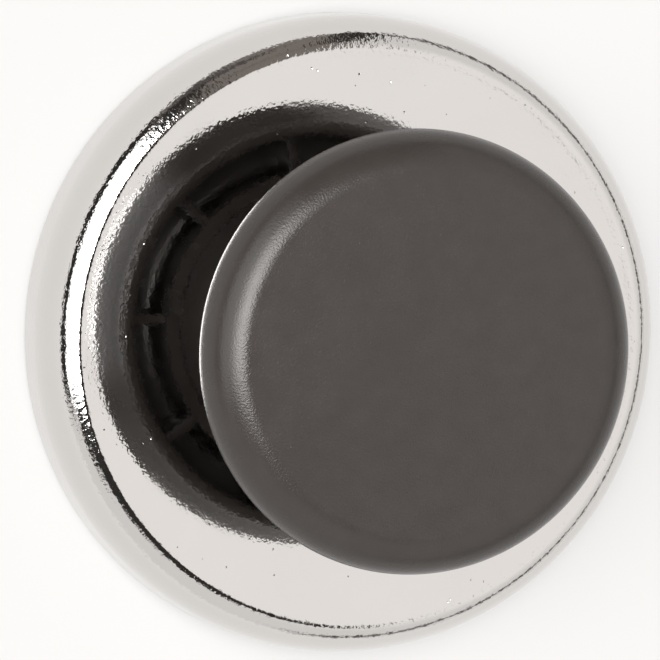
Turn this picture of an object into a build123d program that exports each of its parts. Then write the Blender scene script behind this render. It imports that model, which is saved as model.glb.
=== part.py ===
"""Hand-held magnetic detacher for retail security tags.

A plated steel pot stands open side down on the counter, with a magnet ring inside it. The magnet's
bore holds a steel pole and a plastic nest, into which the dome of a tag is pushed. A black knob,
made of a neck and a cap, stands on the pot's closed face. One screw runs from the pole through the
pot into the knob's neck.

Millimetres. The origin is the centre of the face that rests on the counter, and +Z runs up the
common axis of all the pieces, towards the knob.
"""

import os

from build123d import *

# ---- Driving dimensions ----

# Steel pot
pot_radius = 32.5
pot_height = 10.5
pot_wall = 2.0
pot_corner_width = 3.3
pot_corner_height = 6.3
pot_inner_corner = 2.0
pot_rim_round = 0.8
pot_rim_lift = 0.3

# Magnet, and the resin that sets it in the pot
magnet_bore_radius = 13.0
magnet_chamfer = 0.8
resin_gap = 2.1

# Working face: cover plate, pad and nest
pad_thickness = 1.2
pad_edge_round = 0.4
pad_wall_gap = 0.8
cover_thickness = 0.8
cover_wall_gap = 0.3
nest_seat_radius = 10.5
nest_mouth_widening = 1.6
nest_mouth_height = 1.7
nest_flange_width = 3.0
nest_flange_thickness = 1.0
nest_pad_gap = 0.4
slip_clearance = 0.1

# Steel pole in the magnet's bore
pole_height = 3.6
pole_edge_chamfer = 0.4

# Screw from the pole to the knob
screw_radius = 3.0
screw_hole_clearance = 0.3
screw_head_radius = 5.8
screw_head_land = 0.4
screw_length = 18.0
screw_tip_chamfer = 0.6
socket_across_flats = 4.0
socket_depth = 2.2
thread_clearance = 0.05

# Toothed washer on the pot's face, and gasket under the knob's neck
washer_radius = 5.6
washer_thickness = 0.8
washer_tooth_count = 12
washer_tooth_length = 0.8
washer_tooth_width = 0.7
gasket_thickness = 0.5
gasket_inset = 0.4

# Knob cap
knob_radius = 22.1
knob_top_height = 33.2
knob_crown = 0.3
knob_front_round = 4.6
knob_waist_land = 0.2
knob_skirt_depth = 8.8
knob_skirt_taper = 1.4
knob_skirt_wall = 1.6
knob_top_wall = 2.3
knob_rim_round = 0.6
cavity_round_share = 0.25
hub_wall = 1.4
outer_rib_count = 9
outer_rib_thickness = 1.4
outer_rib_recess = 1.2
outer_rib_start = 18.0
rib_root = 0.6

# Neck, which is bonded into the cap's hub
neck_radius = 14.0
neck_base_radius = 13.4
neck_wall = 2.2
neck_top_web = 2.0
neck_socket_gap = 0.05
boss_radius = 7.5
inner_rib_count = 6
inner_rib_thickness = 1.6
inner_rib_recess = 2.0

# Brass insert in the neck's boss
insert_radius = 5.0
insert_length = 12.5
insert_groove_depth = 0.5
insert_groove_width = 1.2
screw_tip_room = 1.5

# ---- Levels and radii that follow from them ----

face_z = pot_rim_lift + pot_height
web_z = face_z - pot_wall
pot_bore_radius = pot_radius - pot_wall
pot_face_radius = pot_radius - pot_corner_width
pot_corner_z = face_z - pot_corner_height

cover_top_z = pad_thickness + cover_thickness
magnet_radius = pot_bore_radius - resin_gap
magnet_height = web_z - cover_top_z

nest_sleeve_radius = magnet_bore_radius - slip_clearance
nest_mouth_radius = nest_seat_radius + nest_mouth_widening
nest_flange_radius = nest_sleeve_radius + nest_flange_width
nest_flange_z = pad_thickness - nest_flange_thickness
nest_seat_z = nest_flange_z + nest_mouth_height
pole_z = web_z - pole_height
pole_radius = nest_seat_radius + slip_clearance
nest_step_radius = pole_radius + slip_clearance

pad_inner_radius = nest_flange_radius + nest_pad_gap
pad_outer_radius = pot_bore_radius - pad_wall_gap
cover_inner_radius = magnet_bore_radius + slip_clearance
cover_outer_radius = pot_bore_radius - cover_wall_gap

screw_hole_radius = screw_radius + screw_hole_clearance
screw_cone_height = screw_head_radius - screw_radius
screw_tip_z = pole_z + screw_length

insert_z = face_z + washer_thickness
insert_top_z = insert_z + insert_length
insert_bore_radius = screw_radius + thread_clearance

neck_z = face_z + gasket_thickness
knob_rim_z = knob_top_height - knob_skirt_depth
knob_rim_radius = knob_radius - knob_skirt_taper
cavity_radius = knob_rim_radius - knob_skirt_wall
knob_shoulder_z = knob_top_height - knob_crown
knob_waist_z = knob_shoulder_z - knob_front_round - knob_waist_land
cavity_top_z = knob_shoulder_z - knob_top_wall
crown_radius = (knob_radius**2 + knob_crown**2) / (2 * knob_crown)
neck_bore_radius = neck_base_radius - neck_wall
screw_room_z = screw_tip_z + screw_tip_room
hub_bore_radius = neck_radius + neck_socket_gap
hub_radius = hub_bore_radius + hub_wall
hub_z = knob_rim_z + outer_rib_recess
cavity_round = (cavity_radius - hub_radius) * cavity_round_share
inner_rib_z = insert_z + inner_rib_recess
neck_web_z = cavity_top_z - neck_top_web

os.makedirs("parts", exist_ok=True)


# ---- Steel pot: a deep-drawn cup, open below, pierced for the screw ----

with BuildPart() as pot_shell:
    with BuildSketch(Plane.XZ) as pot_section:
        with BuildLine():
            Polyline(
                (pot_face_radius, face_z),
                (screw_hole_radius, face_z),
                (screw_hole_radius, web_z),
                (pot_bore_radius, web_z),
                (pot_bore_radius, pot_rim_lift),
                (pot_radius, pot_rim_lift),
                (pot_radius, pot_corner_z),
            )
            EllipticalCenterArc(
                (pot_face_radius, pot_corner_z), pot_corner_width, pot_corner_height, arc_size=90
            )
        make_face()
        inner_corner = pot_section.vertices().sort_by_distance((pot_bore_radius, web_z, 0))[0]
        fillet(inner_corner, radius=pot_inner_corner)
        rim_corners = pot_section.vertices().group_by(Axis.Y)[0]
        fillet(rim_corners, radius=pot_rim_round)
    revolve(axis=Axis.Z)
pot_shell.part.label = "pot_shell"
export_step(pot_shell.part, "parts/pot_shell.step")


# ---- Magnet ring: sintered, plated, chamfered where it meets the pot's inner corner ----

with BuildPart() as ring_magnet:
    with BuildSketch(Plane.XY.offset(cover_top_z)):
        Circle(magnet_radius)
        Circle(magnet_bore_radius, mode=Mode.SUBTRACT)
    extrude(amount=magnet_height)
    outer_edges = ring_magnet.edges().filter_by(GeomType.CIRCLE).sort_by(SortBy.RADIUS)[-2:]
    chamfer(outer_edges, length=magnet_chamfer)
ring_magnet.part.label = "ring_magnet"
export_step(ring_magnet.part, "parts/ring_magnet.step")


# ---- Potting resin: fills the gap between the magnet and the pot, up into the corner ----

with BuildPart() as potting_ring:
    with BuildSketch(Plane.XZ):
        with BuildLine():
            Polyline(
                (pot_bore_radius - pot_inner_corner, web_z),
                (magnet_radius - magnet_chamfer, web_z),
                (magnet_radius, web_z - magnet_chamfer),
                (magnet_radius, cover_top_z + magnet_chamfer),
                (magnet_radius - magnet_chamfer, cover_top_z),
                (pot_bore_radius, cover_top_z),
                (pot_bore_radius, web_z - pot_inner_corner),
            )
            RadiusArc(
                (pot_bore_radius, web_z - pot_inner_corner),
                (pot_bore_radius - pot_inner_corner, web_z),
                -pot_inner_corner,
            )
        make_face()
    revolve(axis=Axis.Z)
potting_ring.part.label = "potting_ring"
export_step(potting_ring.part, "parts/potting_ring.step")


# ---- Cover plate: thin stainless ring that shields the brittle magnet ----

with BuildPart() as cover_plate:
    with BuildSketch(Plane.XY.offset(pad_thickness)):
        Circle(cover_outer_radius)
        Circle(cover_inner_radius, mode=Mode.SUBTRACT)
    extrude(amount=cover_thickness)
cover_plate.part.label = "cover_plate"
export_step(cover_plate.part, "parts/cover_plate.step")


# ---- Pad: rubber ring that the detacher stands on ----

with BuildPart() as face_pad:
    with BuildSketch(Plane.XY):
        Circle(pad_outer_radius)
        Circle(pad_inner_radius, mode=Mode.SUBTRACT)
    extrude(amount=pad_thickness)
    fillet(face_pad.edges().group_by(Axis.Z)[0], radius=pad_edge_round)
face_pad.part.label = "face_pad"
export_step(face_pad.part, "parts/face_pad.step")


# ---- Pole: steel disc against the pot's web, countersunk for the screw ----

with BuildPart() as pole_piece:
    with BuildSketch(Plane.XY.offset(pole_z)):
        Circle(pole_radius)
    extrude(amount=pole_height)
    chamfer(pole_piece.edges().group_by(Axis.Z)[0], length=pole_edge_chamfer)
    with BuildSketch(Plane.XZ):
        with BuildLine():
            Polyline(
                (0, pole_z),
                (screw_head_radius, pole_z),
                (screw_head_radius, pole_z + screw_head_land),
                (screw_radius, pole_z + screw_head_land + screw_cone_height),
                (screw_radius + slip_clearance, web_z),
                (0, web_z),
                close=True,
            )
        make_face()
    revolve(axis=Axis.Z, mode=Mode.SUBTRACT)
pole_piece.part.label = "pole_piece"
export_step(pole_piece.part, "parts/pole_piece.step")


# ---- Nest: plastic cup with a funnel mouth, whose sleeve lines the magnet's bore ----

with BuildPart() as tag_nest:
    with BuildSketch(Plane.XZ):
        with BuildLine():
            Polyline(
                (nest_mouth_radius, nest_flange_z),
                (nest_flange_radius, nest_flange_z),
                (nest_flange_radius, pad_thickness),
                (nest_sleeve_radius, pad_thickness),
                (nest_sleeve_radius, web_z),
                (nest_step_radius, web_z),
                (nest_step_radius, pole_z),
                (nest_seat_radius, pole_z),
                (nest_seat_radius, nest_seat_z),
                close=True,
            )
        make_face()
    revolve(axis=Axis.Z)
    flange_edge = tag_nest.edges().filter_by(GeomType.CIRCLE).group_by(Axis.Z)[0][-1]
    fillet(flange_edge, radius=pad_edge_round)
tag_nest.part.label = "tag_nest"
export_step(tag_nest.part, "parts/tag_nest.step")


# ---- Screw: countersunk socket head under the pole, shank up into the knob's insert ----

with BuildPart() as tie_screw:
    with BuildSketch(Plane.XZ):
        with BuildLine():
            Polyline(
                (0, pole_z),
                (screw_head_radius - slip_clearance, pole_z),
                (screw_head_radius - slip_clearance, pole_z + screw_head_land),
                (screw_radius, pole_z + screw_head_land + screw_cone_height - slip_clearance),
                (screw_radius, screw_tip_z - screw_tip_chamfer),
                (screw_radius - screw_tip_chamfer, screw_tip_z),
                (0, screw_tip_z),
                close=True,
            )
        make_face()
    revolve(axis=Axis.Z)
    with BuildSketch(Plane.XY.offset(pole_z)):
        RegularPolygon(radius=socket_across_flats / 2, side_count=6, major_radius=False)
    extrude(amount=socket_depth, mode=Mode.SUBTRACT)
tie_screw.part.label = "tie_screw"
export_step(tie_screw.part, "parts/tie_screw.step")


# ---- Toothed washer: grips the pot and the insert, so that the knob can't turn ----

with BuildPart() as toothed_washer:
    with BuildSketch(Plane.XY.offset(face_z)):
        Circle(washer_radius - washer_tooth_length)
        Circle(screw_hole_radius, mode=Mode.SUBTRACT)
        with PolarLocations(washer_radius - washer_tooth_length, washer_tooth_count):
            Rectangle(2 * washer_tooth_length, washer_tooth_width)
    extrude(amount=washer_thickness)
toothed_washer.part.label = "toothed_washer"
export_step(toothed_washer.part, "parts/toothed_washer.step")


# ---- Gasket: fibre ring that keeps the knob's neck off the plating ----

with BuildPart() as neck_gasket:
    with BuildSketch(Plane.XY.offset(face_z)):
        Circle(neck_base_radius - gasket_inset)
        Circle(neck_bore_radius, mode=Mode.SUBTRACT)
    extrude(amount=gasket_thickness)
neck_gasket.part.label = "neck_gasket"
export_step(neck_gasket.part, "parts/neck_gasket.step")


# ---- Insert: brass bush with the screw's thread, moulded into the neck's boss ----

with BuildPart() as threaded_insert:
    with BuildSketch(Plane.XY.offset(insert_z)):
        Circle(insert_radius)
        Circle(insert_bore_radius, mode=Mode.SUBTRACT)
    extrude(amount=insert_length)
    for share in (1 / 3, 2 / 3):
        groove_z = insert_z + insert_length * share - insert_groove_width / 2
        with BuildSketch(Plane.XY.offset(groove_z)):
            Circle(insert_radius)
            Circle(insert_radius - insert_groove_depth, mode=Mode.SUBTRACT)
        extrude(amount=insert_groove_width, mode=Mode.SUBTRACT)
threaded_insert.part.label = "threaded_insert"
export_step(threaded_insert.part, "parts/threaded_insert.step")


# ---- Neck: a tapered tube that stands on the gasket, with a ribbed boss for the insert ----

with BuildPart() as knob_neck:
    with BuildSketch(Plane.XZ) as neck_section:
        with BuildLine():
            Polyline(
                (neck_radius, cavity_top_z),
                (neck_radius, knob_rim_z),
                (neck_base_radius, neck_z),
                (neck_bore_radius, neck_z),
                (neck_bore_radius, neck_web_z),
                (boss_radius, neck_web_z),
                (boss_radius, insert_z),
                (insert_radius, insert_z),
                (insert_radius, insert_top_z),
                (screw_hole_radius, insert_top_z),
                (screw_hole_radius, screw_room_z),
                (0, screw_room_z),
                (0, cavity_top_z),
                close=True,
            )
        make_face()
        foot_corner = neck_section.vertices().sort_by_distance((neck_base_radius, neck_z, 0))[0]
        fillet(foot_corner, radius=knob_rim_round)
    revolve(axis=Axis.Z)

    inner_rib_middle = (boss_radius + neck_bore_radius) / 2
    inner_rib_length = neck_bore_radius - boss_radius + 2 * rib_root
    with BuildSketch(Plane.XY.offset(inner_rib_z)):
        with PolarLocations(inner_rib_middle, inner_rib_count):
            Rectangle(inner_rib_length, inner_rib_thickness)
    extrude(amount=neck_web_z + rib_root - inner_rib_z)
knob_neck.part.label = "knob_neck"
export_step(knob_neck.part, "parts/knob_neck.step")


# ---- Cap: a crowned disc with a skirt, hollow below, ribbed out from the hub for the neck ----

with BuildPart() as knob_cap:
    with BuildSketch(Plane.XZ) as cap_section:
        with BuildLine():
            Polyline(
                (knob_radius, knob_shoulder_z),
                (knob_radius, knob_waist_z),
                (knob_rim_radius, knob_rim_z),
                (cavity_radius, knob_rim_z),
                (cavity_radius, cavity_top_z),
                (hub_radius, cavity_top_z),
                (hub_radius, hub_z),
                (hub_bore_radius, hub_z),
                (hub_bore_radius, cavity_top_z),
                (0, cavity_top_z),
                (0, knob_top_height),
            )
            RadiusArc((0, knob_top_height), (knob_radius, knob_shoulder_z), crown_radius)
        make_face()
        corners = cap_section.vertices()
        front_corner = corners.sort_by_distance((knob_radius, knob_shoulder_z, 0))[0]
        fillet(front_corner, radius=knob_front_round)
        for corner in (
            (knob_rim_radius, knob_rim_z, 0),
            (cavity_radius, knob_rim_z, 0),
        ):
            fillet(cap_section.vertices().sort_by_distance(corner)[0], radius=knob_rim_round)
        for corner in (
            (cavity_radius, cavity_top_z, 0),
            (hub_radius, cavity_top_z, 0),
        ):
            fillet(cap_section.vertices().sort_by_distance(corner)[0], radius=cavity_round)
    revolve(axis=Axis.Z)

    outer_rib_middle = (hub_radius + cavity_radius) / 2
    outer_rib_length = cavity_radius - hub_radius + 2 * rib_root
    with BuildSketch(Plane.XY.offset(hub_z)):
        with PolarLocations(outer_rib_middle, outer_rib_count, start_angle=outer_rib_start):
            Rectangle(outer_rib_length, outer_rib_thickness)
    extrude(amount=cavity_top_z + rib_root - hub_z)
knob_cap.part.label = "knob_cap"
export_step(knob_cap.part, "parts/knob_cap.step")
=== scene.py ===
"""Hand-held magnetic detacher for retail security tags, standing on its working face.

The sections follow the tool as it is put together: the plated pot, what is set in its open face,
the screw and its washers, the knob's neck, the knob's cap, and then the table, the light tent and
the camera. Metres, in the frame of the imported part, with +Z up the common axis.
"""

from math import cos, pi, radians, sin

import bmesh
import bpy
from mathutils import Matrix, Vector


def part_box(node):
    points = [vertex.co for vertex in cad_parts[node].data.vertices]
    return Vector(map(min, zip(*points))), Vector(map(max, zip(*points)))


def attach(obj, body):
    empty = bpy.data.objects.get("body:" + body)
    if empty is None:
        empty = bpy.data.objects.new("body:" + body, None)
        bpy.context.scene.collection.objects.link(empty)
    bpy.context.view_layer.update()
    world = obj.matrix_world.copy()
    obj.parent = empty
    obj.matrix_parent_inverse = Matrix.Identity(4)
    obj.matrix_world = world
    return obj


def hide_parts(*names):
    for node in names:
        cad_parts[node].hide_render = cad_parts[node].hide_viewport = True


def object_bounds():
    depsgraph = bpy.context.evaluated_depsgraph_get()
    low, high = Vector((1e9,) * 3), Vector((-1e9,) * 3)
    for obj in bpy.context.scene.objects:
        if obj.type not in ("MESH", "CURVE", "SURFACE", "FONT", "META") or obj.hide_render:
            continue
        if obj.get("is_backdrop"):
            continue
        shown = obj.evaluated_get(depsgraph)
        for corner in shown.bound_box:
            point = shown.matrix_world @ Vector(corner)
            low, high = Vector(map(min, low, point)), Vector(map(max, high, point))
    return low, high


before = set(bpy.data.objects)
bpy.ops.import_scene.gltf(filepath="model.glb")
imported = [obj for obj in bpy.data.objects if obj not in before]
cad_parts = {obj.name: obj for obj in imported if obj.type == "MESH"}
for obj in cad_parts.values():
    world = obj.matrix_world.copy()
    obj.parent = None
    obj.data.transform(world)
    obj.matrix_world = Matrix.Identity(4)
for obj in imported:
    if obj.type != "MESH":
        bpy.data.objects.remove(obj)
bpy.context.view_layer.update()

# ---- Pot ----
# A cup deep-drawn from 2 mm steel: a flat face, a tight corner and a wall that leans in above the
# middle. It is nickel-chrome plated straight over the drawn skin, so the bright face is a mirror
# with an orange peel, coarser where the steel was stretched, and a few pits. The face is slightly
# hollow, and rises to a pressed seat under the knob's gasket.

MM = 0.001

POT_LOW, POT_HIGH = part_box("pot_shell")
POT_RADIUS = POT_HIGH.x
POT_WALL = 2.0 * MM
FACE_RADIUS = 29.2 * MM
FACE_DISH = 0.36 * MM
DISH_EASE = 1.5 * MM
DISH_STEPS = 40
SEAT_EDGE = 13.4 * MM
SEAT_FOOT = 14.8 * MM
WALL_LEAN_START = 4.5 * MM
SCREW_HOLE_RADIUS = 3.3 * MM
RIM_ROUND = 0.8 * MM
INNER_RIM_ROUND = 0.5 * MM
INNER_CORNER = 2.0 * MM


def arc(centre_r, centre_z, radius, start, end, steps, tall=None):
    """Points (r, z) along an arc of a turned profile, from one angle to another in degrees."""
    angles = [radians(start + (end - start) * k / steps) for k in range(steps + 1)]
    tall = tall or radius
    return [(centre_r + radius * cos(a), centre_z + tall * sin(a)) for a in angles]


def turned(name, profile, around=256, sharp=28):
    """A turned piece: the closed profile (r, z) spun about +Z, smooth but for its sharp edges."""
    bm = bmesh.new()
    rings = []
    for r, z in profile:
        if r < 1e-9:
            rings.append([bm.verts.new((0, 0, z))])
            continue
        turns = (2 * pi * k / around for k in range(around))
        rings.append([bm.verts.new((r * cos(a), r * sin(a), z)) for a in turns])
    for low, high in zip(rings, rings[1:] + rings[:1]):
        for k in range(around):
            n = (k + 1) % around
            corners = [low[k % len(low)], low[n % len(low)]]
            corners += [high[n % len(high)], high[k % len(high)]]
            corners = list(dict.fromkeys(corners))
            if len(corners) > 2:
                bm.faces.new(corners)
    return shown(name, bm, sharp)


def shown(name, bm, sharp=28):
    """Makes the mesh an object, with flats and rounds meeting at edges over the sharp angle."""
    bmesh.ops.recalc_face_normals(bm, faces=bm.faces)
    for face in bm.faces:
        face.smooth = True
    for edge in bm.edges:
        edge.smooth = len(edge.link_faces) == 2 and edge.calc_face_angle() < radians(sharp)
    mesh = bpy.data.meshes.new(name)
    bm.to_mesh(mesh)
    bm.free()
    piece = bpy.data.objects.new(name, mesh)
    bpy.context.scene.collection.objects.link(piece)
    return piece


def hollowed(r):
    """Height of the pot's face outside the gasket's seat, which eases to level at the corner."""
    ease = min(1, 0.5 + (FACE_RADIUS - r) / DISH_EASE)
    return POT_HIGH.z - FACE_DISH * (1 - (r / FACE_RADIUS) ** 2) * ease


WEB_Z = POT_HIGH.z - POT_WALL
BORE_RADIUS = POT_RADIUS - POT_WALL
pot_profile = [(SCREW_HOLE_RADIUS, WEB_Z), (SCREW_HOLE_RADIUS, POT_HIGH.z), (SEAT_EDGE, POT_HIGH.z)]
for k in range(DISH_STEPS):
    r = SEAT_FOOT + (FACE_RADIUS - SEAT_FOOT) * k / DISH_STEPS
    pot_profile.append((r, hollowed(r)))
pot_profile += arc(
    FACE_RADIUS, WALL_LEAN_START, POT_RADIUS - FACE_RADIUS, 90, 0, 48, POT_HIGH.z - WALL_LEAN_START
)
pot_profile += arc(POT_RADIUS - RIM_ROUND, POT_LOW.z + RIM_ROUND, RIM_ROUND, 0, -90, 12)
pot_profile += arc(
    BORE_RADIUS + INNER_RIM_ROUND, POT_LOW.z + INNER_RIM_ROUND, INNER_RIM_ROUND, -90, -180, 8
)
pot_profile += arc(BORE_RADIUS - INNER_CORNER, WEB_Z - INNER_CORNER, INNER_CORNER, 0, 90, 12)
pot = turned("pot", pot_profile, around=360)
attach(pot, "root")
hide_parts("pot_shell")


class Finish:
    """A material under construction: its nodes, placed in object space, and one shader."""

    def __init__(self, name, colour, roughness, metallic=0.0):
        self.material = bpy.data.materials.new(name)
        self.material.use_nodes = True
        self.nodes = self.material.node_tree.nodes
        self.links = self.material.node_tree.links
        self.shader = self.nodes["Principled BSDF"]
        self.shader.inputs["Base Color"].default_value = (*colour, 1)
        self.shader.inputs["Roughness"].default_value = roughness
        self.shader.inputs["Metallic"].default_value = metallic
        self.place = self.nodes.new("ShaderNodeTexCoord").outputs["Object"]
        self.normal = None

    def grain(self, scale, detail=2.0, roughness=0.5, stretch=None):
        """Noise of a given fineness, in features per metre."""
        noise = self.nodes.new("ShaderNodeTexNoise")
        noise.inputs["Scale"].default_value = scale
        noise.inputs["Detail"].default_value = detail
        noise.inputs["Roughness"].default_value = roughness
        place = self.place
        if stretch:
            mapping = self.nodes.new("ShaderNodeMapping")
            mapping.inputs["Scale"].default_value = stretch
            self.links.new(place, mapping.inputs["Vector"])
            place = mapping.outputs["Vector"]
        self.links.new(place, noise.inputs["Vector"])
        return noise.outputs["Fac"]

    def specks(self, scale, size, soft):
        """Round specks, 1 inside and 0 outside, of a size given as a share of their spacing."""
        cells = self.nodes.new("ShaderNodeTexVoronoi")
        cells.inputs["Scale"].default_value = scale
        self.links.new(self.place, cells.inputs["Vector"])
        return self.ramp(cells.outputs["Distance"], size + soft, size - soft)

    def ramp(self, value, low, high, to_low=0.0, to_high=1.0):
        """Maps the span from low to high on to another, smoothly and with its ends held."""
        node = self.nodes.new("ShaderNodeMapRange")
        node.interpolation_type = "SMOOTHSTEP"
        node.inputs["From Min"].default_value = low
        node.inputs["From Max"].default_value = high
        node.inputs["To Min"].default_value = to_low
        node.inputs["To Max"].default_value = to_high
        self.links.new(value, node.inputs["Value"])
        return node.outputs["Result"]

    def from_axis(self):
        """Distance from the tool's axis."""
        flatten = self.nodes.new("ShaderNodeVectorMath")
        flatten.operation = "MULTIPLY"
        flatten.inputs[1].default_value = (1, 1, 0)
        self.links.new(self.place, flatten.inputs[0])
        length = self.nodes.new("ShaderNodeVectorMath")
        length.operation = "LENGTH"
        self.links.new(flatten.outputs["Vector"], length.inputs[0])
        return length.outputs["Value"]

    def times(self, a, b):
        """The product of two values."""
        node = self.nodes.new("ShaderNodeMath")
        node.operation = "MULTIPLY"
        self.links.new(a, node.inputs[0])
        self.links.new(b, node.inputs[1])
        return node.outputs["Value"]

    def relief(self, height, depth, invert=False):
        """Adds a bump of a given depth in metres on top of the ones before it."""
        node = self.nodes.new("ShaderNodeBump")
        node.inputs["Strength"].default_value = 1.0
        node.inputs["Distance"].default_value = depth
        node.invert = invert
        self.links.new(height, node.inputs["Height"])
        if self.normal:
            self.links.new(self.normal, node.inputs["Normal"])
        self.normal = node.outputs["Normal"]
        self.links.new(self.normal, self.shader.inputs["Normal"])

    def tone(self, value, dark, light):
        """Colours the surface between two tones."""
        node = self.nodes.new("ShaderNodeValToRGB")
        node.color_ramp.elements[0].color = (*dark, 1)
        node.color_ramp.elements[1].color = (*light, 1)
        self.links.new(value, node.inputs["Fac"])
        self.links.new(node.outputs["Color"], self.shader.inputs["Base Color"])

    def gloss(self, value, low, high):
        """Varies the roughness between two values."""
        self.links.new(self.ramp(value, 0.3, 0.7, low, high), self.shader.inputs["Roughness"])

    def coat(self, piece):
        """Makes this the only material on a piece."""
        piece.data.materials.clear()
        piece.data.materials.append(self.material)


plating = Finish("plating", (0.66, 0.645, 0.63), 0.04, metallic=1.0)
plating.tone(plating.grain(90, 3), (0.645, 0.628, 0.61), (0.675, 0.66, 0.648))
plating.gloss(plating.grain(160, 4), 0.025, 0.075)
plating.relief(plating.grain(2500, 1.5, 0.5), 0.0000055)
plating.relief(plating.grain(4200, 1.0, 0.4), 0.0000012)
STRETCH_START = 28.4 * MM
STRETCH_FULL = 30.2 * MM
stretched = plating.ramp(plating.from_axis(), STRETCH_START, STRETCH_FULL)
plating.relief(plating.times(plating.grain(2200, 2.0, 0.55), stretched), 0.000036)
pitted = plating.ramp(plating.grain(700, 1), 0.57, 0.65)
pits = plating.times(plating.specks(900, 0.1, 0.03), pitted)
plating.relief(pits, 0.000012, invert=True)
plating.coat(pot)

# ---- Magnet, resin, cover plate, pad, pole and nest ----
# The ring magnet is set in the pot with black resin, under a thin stainless ring and a rubber pad.
# Its bore holds a turned steel pole and a moulded nest, whose funnel centres the tag's dome.

magnet = Finish("magnet_plating", (0.5, 0.49, 0.47), 0.3, metallic=1.0)
magnet.gloss(magnet.grain(900, 4), 0.22, 0.42)
magnet.relief(magnet.grain(3000, 3), 0.000004)

resin = Finish("potting_resin", (0.02, 0.02, 0.022), 0.35)
resin.gloss(resin.grain(400, 3), 0.25, 0.5)
resin.relief(resin.grain(500, 2), 0.00003)

stainless = Finish("rolled_stainless", (0.6, 0.59, 0.575), 0.28, metallic=1.0)
stainless.gloss(stainless.grain(500, 5, 0.6, (0.04, 1, 1)), 0.2, 0.42)
stainless.relief(stainless.grain(2500, 4, 0.6, (0.03, 1, 1)), 0.000003)

rubber = Finish("pad_rubber", (0.02, 0.02, 0.021), 0.78)
rubber.tone(rubber.grain(250, 5, 0.6), (0.014, 0.014, 0.015), (0.032, 0.031, 0.03))
rubber.gloss(rubber.grain(300, 4), 0.68, 0.88)
rubber.relief(rubber.grain(2600, 3, 0.6), 0.00003)

pole_steel = Finish("turned_steel", (0.53, 0.52, 0.5), 0.3, metallic=1.0)
pole_steel.gloss(pole_steel.grain(300, 4), 0.22, 0.4)
rings = pole_steel.nodes.new("ShaderNodeTexWave")
rings.wave_type = "RINGS"
rings.rings_direction = "Z"
rings.inputs["Scale"].default_value = 1400
rings.inputs["Distortion"].default_value = 0.4
pole_steel.links.new(pole_steel.place, rings.inputs["Vector"])
pole_steel.relief(rings.outputs["Fac"], 0.000005)

acetal = Finish("nest_acetal", (0.03, 0.03, 0.032), 0.45)
acetal.tone(acetal.grain(500, 4), (0.026, 0.026, 0.028), (0.04, 0.04, 0.042))
acetal.gloss(acetal.grain(350, 4), 0.36, 0.56)
acetal.relief(acetal.grain(3800, 2), 0.000012)

for node, finish in (
    ("ring_magnet", magnet),
    ("potting_ring", resin),
    ("cover_plate", stainless),
    ("face_pad", rubber),
    ("pole_piece", pole_steel),
    ("tag_nest", acetal),
):
    finish.coat(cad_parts[node])

# ---- Screw, toothed washer, gasket and insert ----
# One M6 countersunk screw holds the tool together. The toothed washer bites the pot and the brass
# insert, so that the knob can't turn, and a fibre gasket keeps the neck off the plating.

screw_steel = Finish("screw_steel", (0.36, 0.36, 0.37), 0.32, metallic=1.0)
screw_steel.gloss(screw_steel.grain(800, 4), 0.24, 0.45)
screw_steel.relief(screw_steel.grain(3000, 3), 0.000006)

zinc = Finish("zinc_plating", (0.5, 0.49, 0.45), 0.38, metallic=1.0)
zinc.tone(zinc.grain(300, 4), (0.42, 0.42, 0.4), (0.56, 0.54, 0.47))
zinc.gloss(zinc.grain(700, 4), 0.3, 0.5)

fibre = Finish("vulcanised_fibre", (0.05, 0.042, 0.038), 0.7)
fibre.tone(fibre.grain(700, 5, 0.6), (0.035, 0.03, 0.027), (0.075, 0.062, 0.055))
fibre.relief(fibre.grain(2500, 4, 0.7), 0.00002)

brass = Finish("turned_brass", (0.68, 0.5, 0.24), 0.28, metallic=1.0)
brass.tone(brass.grain(300, 3), (0.6, 0.43, 0.2), (0.74, 0.56, 0.29))
brass.gloss(brass.grain(700, 4), 0.2, 0.4)

for node, finish in (
    ("tie_screw", screw_steel),
    ("toothed_washer", zinc),
    ("neck_gasket", fibre),
    ("threaded_insert", brass),
):
    finish.coat(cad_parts[node])

# ---- Neck ----
# A tapered tube of the knob's black glass-filled plastic. It stands on the gasket, with the brass
# insert moulded into its boss, and its upper end is bonded into the cap's hub.

PLASTIC_DARK = (0.0275, 0.0233, 0.0212)
PLASTIC_LIGHT = (0.037, 0.0318, 0.0292)
PLASTIC_SHINE = 0.36


def moulded(name, rough_low, rough_high):
    """Black glass-filled plastic from a spark-eroded mould: a fine pebble and faint mottling."""
    finish = Finish(name, PLASTIC_LIGHT, 0.4)
    finish.tone(finish.grain(420, 4, 0.6), PLASTIC_DARK, PLASTIC_LIGHT)
    finish.gloss(finish.grain(260, 3), rough_low, rough_high)
    finish.relief(finish.grain(5400, 1, 0.5), 0.000022)
    finish.shader.inputs["Specular IOR Level"].default_value = PLASTIC_SHINE
    return finish


neck_plastic = moulded("neck_plastic", 0.42, 0.5)
neck_plastic.coat(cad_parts["knob_neck"])

# ---- Cap ----
# The cap is one moulding: a slightly crowned disc with a generous round and a skirt that tapers in
# below its widest line. Underneath, nine ribs run from the skirt to the hub that takes the neck.
# The tuck is how late the taper comes: 1 is straight, and more keeps the skirt wide for longer.

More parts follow.
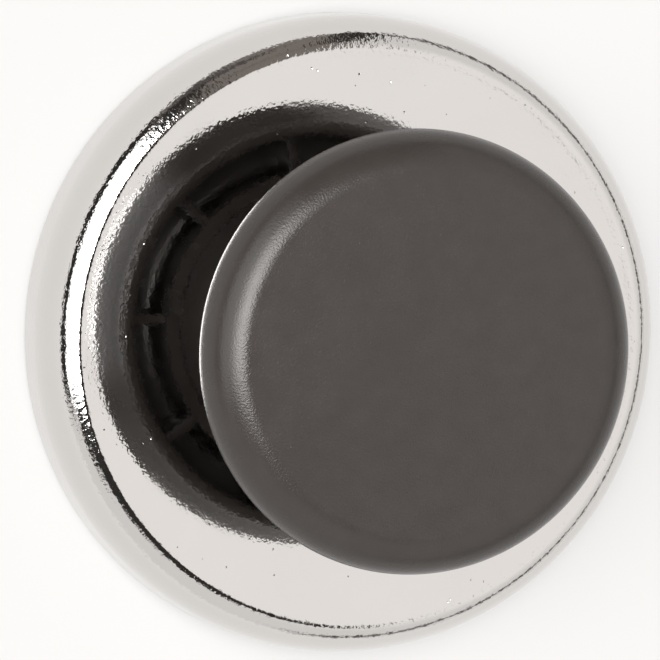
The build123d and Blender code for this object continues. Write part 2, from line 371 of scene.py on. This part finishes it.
CAP_LOW, CAP_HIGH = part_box("knob_cap")
CAP_RADIUS = CAP_HIGH.x
CROWN_RISE = 0.3 * MM
SHOULDER_Z = CAP_HIGH.z - CROWN_RISE
FRONT_ROUND = 4.2 * MM
CAP_RIM_RADIUS = 20.7 * MM
SKIRT_WALL = 1.6 * MM
SKIRT_STEPS = 10
CAVITY_TOP = SHOULDER_Z - 2.3 * MM
CAVITY_RADIUS = CAP_RIM_RADIUS - SKIRT_WALL
CAVITY_ROUND = 0.9 * MM
HUB_BORE = 14.05 * MM
HUB_RADIUS = 15.45 * MM
HUB_Z = CAP_LOW.z + 1.2 * MM
RIM_EDGE = 0.5 * MM
SKIRT_TUCK = 1.3

flat_radius = CAP_RADIUS - FRONT_ROUND
widest_z = SHOULDER_Z - FRONT_ROUND
skirt_fall = widest_z - CAP_LOW.z - RIM_EDGE
skirt_inset = CAP_RADIUS - CAP_RIM_RADIUS
cap_profile = [
    (flat_radius * share, SHOULDER_Z + CROWN_RISE * (1 - share**2)) for share in (0, 0.25, 0.5, 0.75)
]
cap_profile += arc(flat_radius, widest_z, FRONT_ROUND, 90, 0, 40)
cap_profile += [
    (CAP_RADIUS - skirt_inset * (k / SKIRT_STEPS) ** SKIRT_TUCK, widest_z - skirt_fall * k / SKIRT_STEPS)
    for k in range(1, SKIRT_STEPS)
]
cap_profile += arc(CAP_RIM_RADIUS - RIM_EDGE, CAP_LOW.z + RIM_EDGE, RIM_EDGE, 0, -90, 6)
cap_profile += arc(CAVITY_RADIUS + RIM_EDGE, CAP_LOW.z + RIM_EDGE, RIM_EDGE, -90, -180, 6)
cap_profile += arc(CAVITY_RADIUS - CAVITY_ROUND, CAVITY_TOP - CAVITY_ROUND, CAVITY_ROUND, 0, 90, 6)
cap_profile += arc(HUB_RADIUS + CAVITY_ROUND, CAVITY_TOP - CAVITY_ROUND, CAVITY_ROUND, 90, 180, 6)
cap_profile += [(HUB_RADIUS, HUB_Z), (HUB_BORE, HUB_Z), (HUB_BORE, CAVITY_TOP), (0, CAVITY_TOP)]
cap = turned("cap", cap_profile, around=288)
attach(cap, "root")
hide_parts("knob_cap")
cap_plastic = moulded("cap_plastic", 0.24, 0.28)
cap_plastic.coat(cap)

RIB_COUNT = 9
RIB_START = radians(18)
RIB_FOOT = 1.5 * MM
RIB_EDGE = 1.1 * MM
RIB_Z = HUB_Z + 0.8 * MM
RIB_OVERLAP = 0.4 * MM
RIB_EDGE_ROUND = 0.2 * MM
RIB_ROOT = 0.3 * MM

bm = bmesh.new()
for k in range(RIB_COUNT):
    turn = Matrix.Rotation(RIB_START + 2 * pi * k / RIB_COUNT, 3, "Z")
    rib = []
    for r in (HUB_RADIUS - RIB_OVERLAP, CAVITY_RADIUS + RIB_OVERLAP):
        for half, z in (
            (RIB_FOOT / 2, CAVITY_TOP + RIB_ROOT),
            (RIB_EDGE / 2, RIB_Z + RIB_EDGE_ROUND),
            (RIB_EDGE / 2 - RIB_EDGE_ROUND, RIB_Z),
        ):
            rib.append(bm.verts.new(turn @ Vector((r, half, z))))
            rib.append(bm.verts.new(turn @ Vector((r, -half, z))))
    for face in ((0, 2, 8, 6), (2, 4, 10, 8), (4, 5, 11, 10), (5, 3, 9, 11), (3, 1, 7, 9)):
        bm.faces.new([rib[i] for i in face])
    bm.faces.new([rib[i] for i in (0, 1, 3, 5, 4, 2)])
    bm.faces.new([rib[i] for i in (6, 8, 10, 11, 9, 7)])
    bm.faces.new([rib[i] for i in (0, 6, 7, 1)])
ribs = shown("cap_ribs", bm, 20)
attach(ribs, "root")
cap_plastic.coat(ribs)

# ---- Table ----
# A wide light table: a matt white sheet lit evenly from below, so that it carries hardly any shadow
# and the foot of the plated wall mirrors a pale grey.

TABLE_HALF = 3.0
TABLE_GAP = 0.05 * MM

bm = bmesh.new()
corners = ((-1, -1), (1, -1), (1, 1), (-1, 1))
bm.faces.new([bm.verts.new((x * TABLE_HALF, y * TABLE_HALF, -TABLE_GAP)) for x, y in corners])
table = shown("table", bm)
table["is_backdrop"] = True
GLOW_COLOUR = (1, 0.995, 0.985, 1)
GLOW_STRENGTH = 0.47
sheet = Finish("lit_sheet", (0.25, 0.248, 0.245), 0.9)
sheet.shader.inputs["Emission Color"].default_value = GLOW_COLOUR
sheet.shader.inputs["Emission Strength"].default_value = GLOW_STRENGTH
sheet.relief(sheet.grain(900, 3), 0.00001)
sheet.coat(table)

# ---- Camera ----
# A long lens, almost straight above the tool, which leans a little towards the right of the frame.

VIEW_TILT = radians(17.6)
VIEW_TURN = radians(14.75)
DISTANCE = 812.5 * MM
AIM_RIGHT = 0.03 * MM
AIM_DOWN = 0.05 * MM
LENS = 433.6

axis = Vector((sin(VIEW_TILT) * cos(VIEW_TURN), sin(VIEW_TILT) * sin(VIEW_TURN), -cos(VIEW_TILT)))
row_x = axis.cross(Vector((0, 1, 0))).normalized()
row_y = axis.cross(row_x)
foot = Vector((-AIM_RIGHT, -AIM_DOWN, DISTANCE))
to_right = Vector((row_x.x, row_y.x, axis.x))
to_top = -Vector((row_x.y, row_y.y, axis.y))
to_camera = -Vector((row_x.z, row_y.z, axis.z))

camera = bpy.data.objects.new("camera", bpy.data.cameras.new("camera"))
bpy.context.scene.collection.objects.link(camera)
camera.data.sensor_width = 36
camera.data.lens = LENS
camera.data.clip_start = 0.05
camera.data.clip_end = 20
stand = Matrix((to_right, to_top, to_camera)).transposed().to_4x4()
eye = Vector((-foot.dot(row_x), -foot.dot(row_y), -foot.dot(axis)))
camera.matrix_world = Matrix.Translation(eye) @ stand
bpy.context.scene.camera = camera

# ---- Light tent ----
# Pale cloth all round, with one bright window of diffusing cloth high on the left. Black card
# frames the window, a dim brown-grey wall shows beyond it, and a dark gap runs above the table.
# The cards are set for the camera's view, and from the side the pot's flat face can mirror them.

TENT_MIDDLE = (1.13, 1.1, 1.075)
TENT_SIDES = (0.9, 0.88, 0.865)
WINDOW_CORE = (15.0, 14.8, 14.6)
WINDOW_EDGE = (2.4, 2.4, 2.4)
DIM_WALL = (0.25, 0.222, 0.2)
BLACK_CARD = (0.035, 0.032, 0.03)
GAP_GREY = (0.1, 0.095, 0.09)

world = bpy.data.worlds.new("tent")
bpy.context.scene.world = world
world.use_nodes = True
tent_nodes, tent_links = world.node_tree.nodes, world.node_tree.links
ray = tent_nodes.new("ShaderNodeTexCoord").outputs["Generated"]


def vector_op(operation, a, b=None):
    """A sum, product or direction in the tent's shader, with b a fixed vector."""
    node = tent_nodes.new("ShaderNodeVectorMath")
    node.operation = operation
    tent_links.new(a, node.inputs[0])
    if b is not None:
        node.inputs[1].default_value = b
    return node.outputs["Value" if operation == "DOT_PRODUCT" else "Vector"]


def value_op(operation, *terms):
    """A sum, product or angle in the tent's shader, of numbers or of other nodes' values."""
    node = tent_nodes.new("ShaderNodeMath")
    node.operation = operation
    for term, socket in zip(terms, node.inputs):
        if isinstance(term, float):
            socket.default_value = term
        else:
            tent_links.new(term, socket)
    return node.outputs["Value"]


def distance(across, down):
    """Length of a line from its two parts."""
    squares = (value_op("POWER", across, 2.0), value_op("POWER", down, 2.0))
    return value_op("SQRT", value_op("ADD", *squares))


def past(value, limit, soft):
    """Rises softly from 0 to 1 as the value passes a limit."""
    node = tent_nodes.new("ShaderNodeMapRange")
    node.interpolation_type = "SMOOTHSTEP"
    node.inputs["From Min"].default_value = limit - soft
    node.inputs["From Max"].default_value = limit + soft
    tent_links.new(value, node.inputs["Value"])
    return node.outputs["Result"]


def short_of(value, limit, soft):
    """Falls softly from 1 to 0 as the value passes a limit."""
    return past(value, limit, -soft)


def span(value, low, high, soft):
    """1 where the value lies between two limits, with soft edges, and 0 elsewhere."""
    return value_op("MULTIPLY", past(value, low, soft), short_of(value, high, soft))


def lay(tent, colour, *masks):
    """The tent with a colour laid over it where all the masks are 1."""
    mask = masks[0]
    for other in masks[1:]:
        mask = value_op("MULTIPLY", mask, other)
    node = tent_nodes.new("ShaderNodeMix")
    node.data_type = "RGBA"
    tent_links.new(mask, node.inputs["Factor"])
    tent_links.new(tent, node.inputs[6])
    node.inputs[7].default_value = (*colour, 1)
    return node.outputs[2]


# Directions are told apart as a polished ball in the tool's place would show them to the camera.
# A radius is measured from the middle of the ball. A reach and a bearing in degrees are measured
# from the point on the ball that faces as the pot's flat face does, with 0 to the left and the
# bearing growing towards the bottom.
ball = vector_op("NORMALIZE", vector_op("ADD", ray, to_camera))
flat_face = Vector((0, 0, 1))
ball_x = vector_op("DOT_PRODUCT", ball, to_right)
ball_y = vector_op("DOT_PRODUCT", ball, to_top)
leftward = value_op("SUBTRACT", flat_face.dot(to_right), ball_x)
downward = value_op("SUBTRACT", flat_face.dot(to_top), ball_y)
bearing = value_op("MULTIPLY", value_op("ARCTAN2", downward, leftward), 180 / pi)
reach = distance(leftward, downward)
radius = distance(ball_x, ball_y)

# The cloth is brightest where the flat face mirrors it.
cloth = tent_nodes.new("ShaderNodeRGB")
cloth.outputs["Color"].default_value = (*TENT_MIDDLE, 1)
tent = lay(cloth.outputs["Color"], TENT_SIDES, past(reach, 0.22, 0.16))

# The gap above the table is grey on the right and black on the left.
GAP_RIGHT = (0.68, 0.735)
GAP_LEFT = (0.47, 0.8)
tent = lay(tent, GAP_GREY, span(radius, *GAP_RIGHT, 0.015), short_of(leftward, 0.2, 0.1))
left_side = past(leftward, 0.4, 0.1)
tent = lay(tent, BLACK_CARD, span(radius, *GAP_LEFT, 0.012), span(bearing, -62.0, 9.0, 3.0), left_side)

# The dim wall stands at the top, with things in front of it and a black card at its right.
WALL_START = 0.05
WALL_FOOT = 0.72
above_foot = short_of(radius, WALL_FOOT, 0.03)
beyond = (span(bearing, -87.0, -44.0, 2.0), past(reach, WALL_START, 0.02), above_foot)
tent = lay(tent, DIM_WALL, *beyond)
clutter = tent_nodes.new("ShaderNodeTexNoise")
clutter.inputs["Scale"].default_value = 5.0
tent_links.new(ball, clutter.inputs["Vector"])
tent = lay(
    tent, GAP_GREY, *beyond, past(clutter.outputs["Fac"], 0.55, 0.04), past(reach, 0.45, 0.2)
)
tent = lay(tent, BLACK_CARD, span(bearing, -88.0, -79.0, 2.0), past(reach, 0.42, 0.04), above_foot)

# Black cards frame the window, and a fan of four narrows away below it. They start just clear of
# what the flat face mirrors.
CARD_START = 0.035
frame_card = (span(bearing, -54.0, 12.0, 1.5), past(reach, CARD_START, 0.01))
tent = lay(tent, BLACK_CARD, *frame_card, short_of(radius, 0.52, 0.02))
for low, high, far in ((9.0, 24.0, 0.62), (18.0, 40.0, 0.42), (28.0, 62.0, 0.3), (50.0, 88.0, 0.2)):
    tent = lay(tent, BLACK_CARD, span(bearing, low, high, 4.0), span(reach, CARD_START, far, 0.02))

# The window is far brighter in its middle.
WINDOW_START = 0.17
WINDOW_END = 0.47
window = (
    span(bearing, -41.5, 10.0, 1.5),
    past(reach, WINDOW_START, 0.012),
    short_of(radius, WINDOW_END, 0.012),
)
tent = lay(tent, WINDOW_EDGE, *window)
tent = lay(tent, WINDOW_CORE, *window, short_of(reach, 0.42, 0.14))

# Seen directly the tent is plain white cloth, without the window and the cards.
BACKDROP = (0.93, 0.93, 0.93, 1)
backdrop = tent_nodes.new("ShaderNodeBackground")
backdrop.inputs["Color"].default_value = BACKDROP
lit = tent_nodes["Background"]
tent_links.new(tent, lit.inputs["Color"])
seen = tent_nodes.new("ShaderNodeMixShader")
tent_links.new(tent_nodes.new("ShaderNodeLightPath").outputs["Is Camera Ray"], seen.inputs["Fac"])
tent_links.new(lit.outputs["Background"], seen.inputs[1])
tent_links.new(backdrop.outputs["Background"], seen.inputs[2])
tent_links.new(seen.outputs["Shader"], tent_nodes["World Output"].inputs["Surface"])

bpy.context.scene.view_settings.view_transform = "Standard"

low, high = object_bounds()
